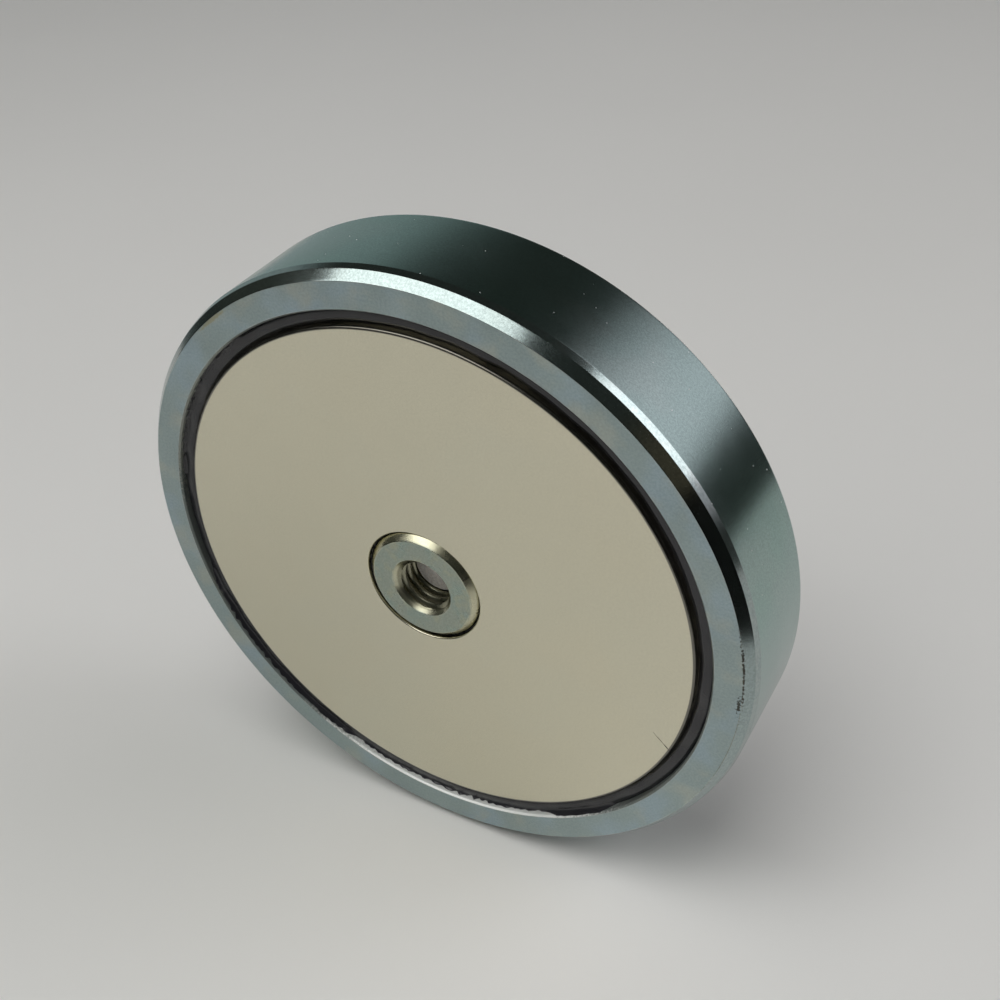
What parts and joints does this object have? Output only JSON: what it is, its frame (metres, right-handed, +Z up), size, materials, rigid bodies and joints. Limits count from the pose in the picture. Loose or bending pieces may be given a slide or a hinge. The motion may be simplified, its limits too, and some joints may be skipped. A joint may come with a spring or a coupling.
{
  "type": "magnet fishing magnet",
  "caption": "Round single-sided pot magnet: steel cup, potted neodymium ring, threaded centre bush and a screwed-in lifting eye for the rope.",
  "frame": {"origin": "centre of the pull face, in the plane of the cup's rim", "axes": "-Y out of the pull face, +Y back towards the lifting eye, +Z up with the cup standing on its rim, +X to the right seen from in front"},
  "size_m": [0.11, 0.0677, 0.11],
  "materials": {
    "zinc_steel": "satin blue-white zinc plate",
    "nickel_plate": "satin nickel plate",
    "bush_zinc": "satin zinc plate",
    "black_epoxy": "semi-gloss cured epoxy",
    "adhesive": "cured adhesive",
    "washer_steel": "zinc plate",
    "eye_steel": "satin forged steel"
  },
  "bodies": {
    "magnet": {"cup": "zinc_steel", "ring_magnet": "nickel_plate", "threaded_bush": "bush_zinc", "outer_potting": "black_epoxy", "bore_potting": "black_epoxy", "bond_film": "adhesive"},
    "washer": {"lock_washer": "washer_steel"},
    "eye": {"eyebolt": "eye_steel"}
  },
  "joints": [
    {"name": "eye_travel", "type": "slide", "parent": "magnet", "child": "washer", "axis": [0, 1, 0], "range_m": [0, 0.0165]},
    {"name": "eye_turn", "type": "hinge", "parent": "washer", "child": "eye", "pos_m": [0, 0.0227, 0], "axis": [0, 1, 0], "range_deg": [0, 3960]}
  ],
  "couplings": [
    {"joint": "eye_turn", "follows": "eye_travel", "rad_per_m": 4188.8}
  ]
}
